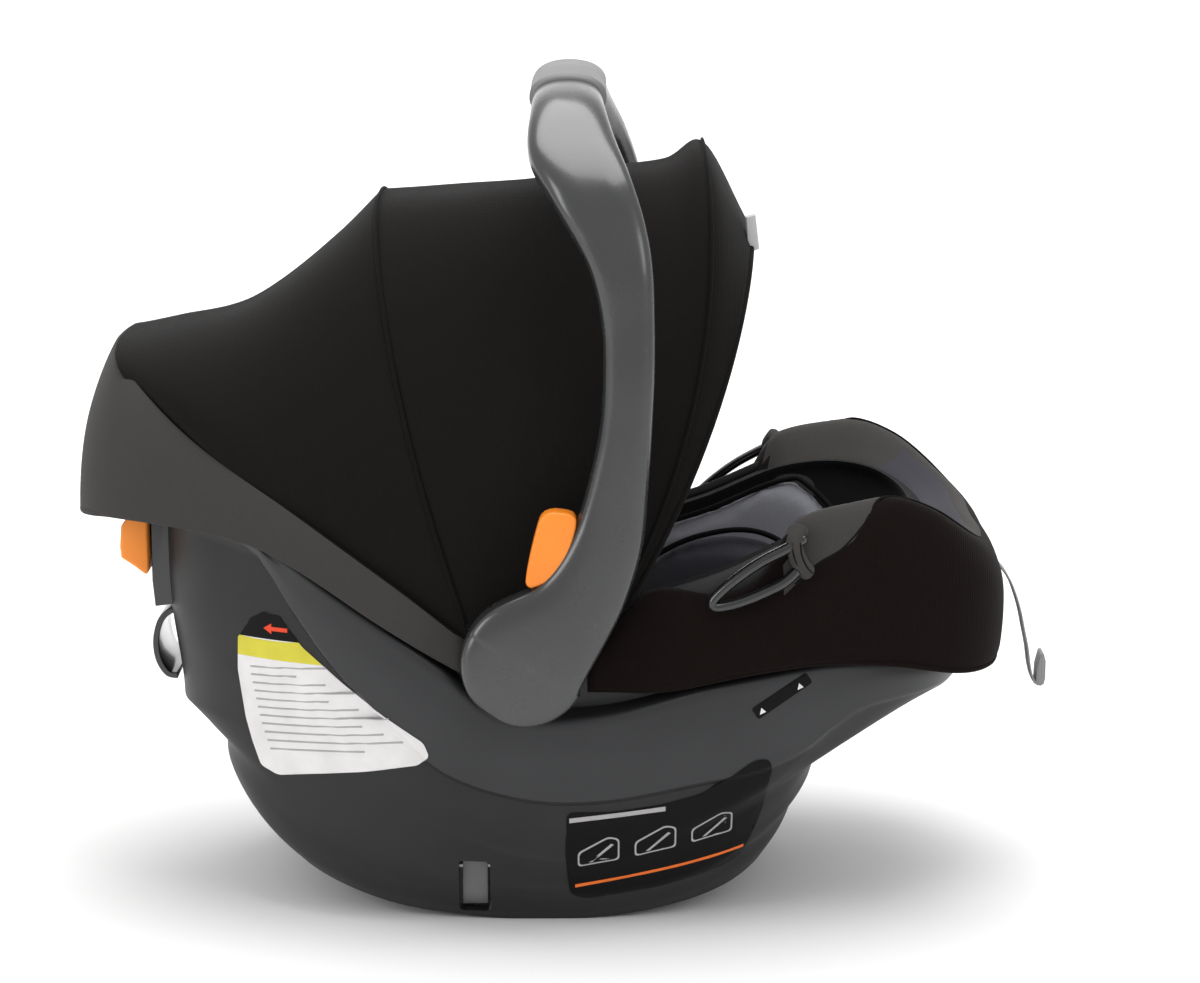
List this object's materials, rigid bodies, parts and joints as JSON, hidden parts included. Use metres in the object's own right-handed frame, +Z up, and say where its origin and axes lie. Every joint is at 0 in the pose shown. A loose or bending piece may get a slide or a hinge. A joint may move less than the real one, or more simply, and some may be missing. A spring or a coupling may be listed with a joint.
{
  "type": "infant car seat",
  "caption": "Infant car seat with a rocker shell, swinging carry handle, folding canopy, harness and base latches.",
  "frame": {"origin": "on the floor below the middle of the carrier, at the bottom centre of its box", "axes": "+X from the head end to the foot end, +Y to the infant's left, +Z up"},
  "size_m": [0.731, 0.433, 0.6125],
  "materials": {
    "shell_plastic": "matte",
    "handle_plastic": "satin",
    "grip_rubber": "matte",
    "dark_plastic": "gloss",
    "orange_plastic": "satin",
    "red_plastic": "satin",
    "grey_plastic": "satin",
    "steel": "brushed",
    "foam": "matte",
    "black_fabric": "woven",
    "heather_fabric": "heather",
    "insert_fabric": "soft",
    "webbing": "woven",
    "tag_fabric": "woven"
  },
  "bodies": {
    "base": {"shell": "shell_plastic", "foam_liner": "foam", "seat_pad": "black_fabric", "seat_cover": "black_fabric", "body_cushion": "insert_fabric", "head_pillow": "insert_fabric", "harness_strap_left": "webbing", "harness_strap_right": "webbing", "shoulder_pad_left": "black_fabric", "shoulder_pad_right": "black_fabric", "crotch_strap": "webbing", "crotch_pad": "black_fabric", "chest_clip_left": "dark_plastic", "chest_clip_right": "dark_plastic", "buckle_housing": "dark_plastic", "buckle_tongues": "steel", "adjuster_housing": "dark_plastic", "adjuster_strap": "webbing", "adjuster_tab": "webbing", "under_seat_web": "webbing", "splitter_plate": "steel", "belt_guide_left": "dark_plastic", "belt_guide_right": "dark_plastic", "shoulder_belt_guide": "dark_plastic", "release_bracket": "dark_plastic", "release_spring": "steel", "latch_pins": "steel", "base_bars": "steel", "socket_left": "shell_plastic", "socket_right": "shell_plastic", "socket_screws": "steel", "pivot_bolt_left": "steel", "pivot_bolt_right": "steel", "canopy_trim": "heather_fabric"},
    "handle": {"handle_outer": "handle_plastic", "handle_inner": "handle_plastic", "handle_grip": "grip_rubber", "handle_hub_left": "handle_plastic", "handle_hub_right": "handle_plastic", "hub_cover_left": "handle_plastic", "hub_cover_right": "handle_plastic", "lock_gear_left": "steel", "lock_gear_right": "steel", "lock_spring_left": "steel", "lock_spring_right": "steel"},
    "trigger_left_body": {"trigger_left": "orange_plastic"},
    "trigger_right_body": {"trigger_right": "orange_plastic"},
    "canopy_mid": {"canopy_mid_bow": "dark_plastic", "canopy_rear_panel": "black_fabric"},
    "canopy_front": {"canopy_front_bow": "dark_plastic", "canopy_front_panel": "black_fabric", "canopy_tag": "tag_fabric"},
    "lever": {"release_lever": "orange_plastic", "release_pin": "steel"},
    "hook_left": {"latch_hook_left": "grey_plastic"},
    "hook_right": {"latch_hook_right": "grey_plastic"},
    "buckle_press": {"buckle_button": "red_plastic"},
    "clip_press": {"chest_clip_button": "orange_plastic"},
    "adjuster_press": {"adjuster_button": "grey_plastic"}
  },
  "joints": [
    {"name": "handle_turn", "type": "hinge", "parent": "base", "child": "handle", "pos_m": [0, 0, 0.209], "axis": [0, 1, 0], "range_deg": [-108, 0]},
    {"name": "trigger_left_press", "type": "slide", "parent": "handle", "child": "trigger_left_body", "axis": [0.8486, 0, -0.5291], "range_m": [0, 0.006], "stiffness_N_per_m": 120},
    {"name": "trigger_right_press", "type": "slide", "parent": "handle", "child": "trigger_right_body", "axis": [0.8486, 0, -0.5291], "range_m": [0, 0.006], "stiffness_N_per_m": 120},
    {"name": "canopy_mid_fold", "type": "hinge", "parent": "base", "child": "canopy_mid", "pos_m": [0, 0, 0.209], "axis": [0, 1, 0], "range_deg": [-30, 0], "deforming": ["canopy_rear_panel"]},
    {"name": "canopy_front_fold", "type": "hinge", "parent": "canopy_mid", "child": "canopy_front", "pos_m": [0, 0, 0.209], "axis": [0, 1, 0], "range_deg": [-38, 0], "deforming": ["canopy_front_panel"]},
    {"name": "lever_pull", "type": "slide", "parent": "base", "child": "lever", "axis": [0, 0, 1], "range_m": [0, 0.008], "stiffness_N_per_m": 150, "deforming": ["release_spring"]},
    {"name": "hook_left_turn", "type": "hinge", "parent": "base", "child": "hook_left", "pos_m": [-0.038, 0.138, 0.04], "axis": [-1, 0, 0], "range_deg": [0, 16]},
    {"name": "hook_right_turn", "type": "hinge", "parent": "base", "child": "hook_right", "pos_m": [-0.038, -0.138, 0.04], "axis": [1, 0, 0], "range_deg": [0, 16]},
    {"name": "buckle_button_press", "type": "slide", "parent": "base", "child": "buckle_press", "axis": [0, 0, -1], "range_m": [0, 0.003], "stiffness_N_per_m": 120},
    {"name": "clip_button_press", "type": "slide", "parent": "base", "child": "clip_press", "axis": [0, 0, -1], "range_m": [0, 0.003], "stiffness_N_per_m": 120},
    {"name": "adjuster_button_press", "type": "slide", "parent": "base", "child": "adjuster_press", "axis": [0, 0, -1], "range_m": [0, 0.003], "stiffness_N_per_m": 120}
  ],
  "couplings": [
    {"joint": "canopy_mid_fold", "follows": "canopy_front_fold", "ratio": 0.78947},
    {"joint": "hook_left_turn", "follows": "lever_pull", "rad_per_m": 34.907},
    {"joint": "hook_right_turn", "follows": "lever_pull", "rad_per_m": 34.907}
  ]
}
